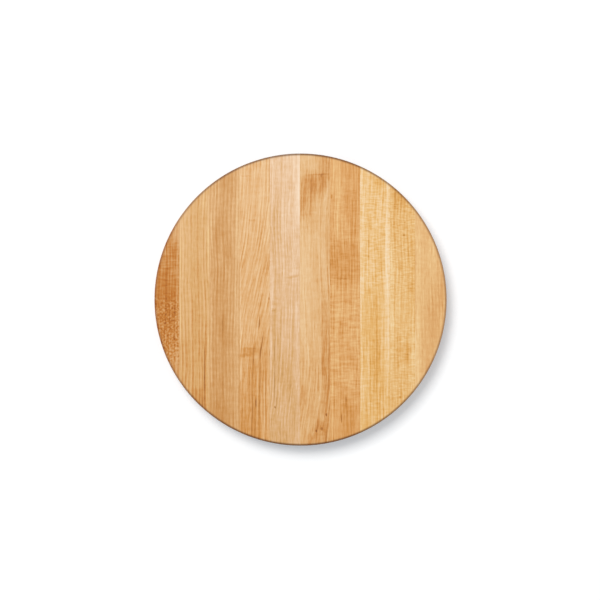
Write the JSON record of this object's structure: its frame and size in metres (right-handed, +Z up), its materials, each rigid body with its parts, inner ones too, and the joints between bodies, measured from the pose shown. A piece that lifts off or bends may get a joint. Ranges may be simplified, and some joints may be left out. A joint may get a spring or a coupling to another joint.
{
  "type": "round chopping block",
  "caption": "Round, reversible kitchen chopping block: a disc sawn from a panel of edge-glued maple staves, flat on both faces, with both rims eased.",
  "frame": {"origin": "centre of the underside, the flat face that the block lies on", "axes": "+Z up out of the work surface; +Y along the staves and their grain; +X across the staves, towards the narrow one, and to the right in the picture"},
  "size_m": [0.4572, 0.4572, 0.0381],
  "materials": {
    "cinnamon_maple": "satin",
    "tan_maple": "satin",
    "honey_maple": "satin",
    "cream_maple": "satin",
    "amber_maple": "satin",
    "straw_maple": "satin",
    "dried_glue": "satin"
  },
  "bodies": {
    "root": {"stave_01": "cinnamon_maple", "stave_02": "tan_maple", "stave_03": "tan_maple", "stave_04": "honey_maple", "stave_05": "cream_maple", "stave_06": "honey_maple", "stave_07": "amber_maple", "stave_08": "straw_maple", "stave_09": "straw_maple", "stave_10": "honey_maple", "glue_line_01": "dried_glue", "glue_line_02": "dried_glue", "glue_line_03": "dried_glue", "glue_line_04": "dried_glue", "glue_line_05": "dried_glue", "glue_line_06": "dried_glue", "glue_line_07": "dried_glue", "glue_line_08": "dried_glue", "glue_line_09": "dried_glue"}
  },
  "joints": []
}
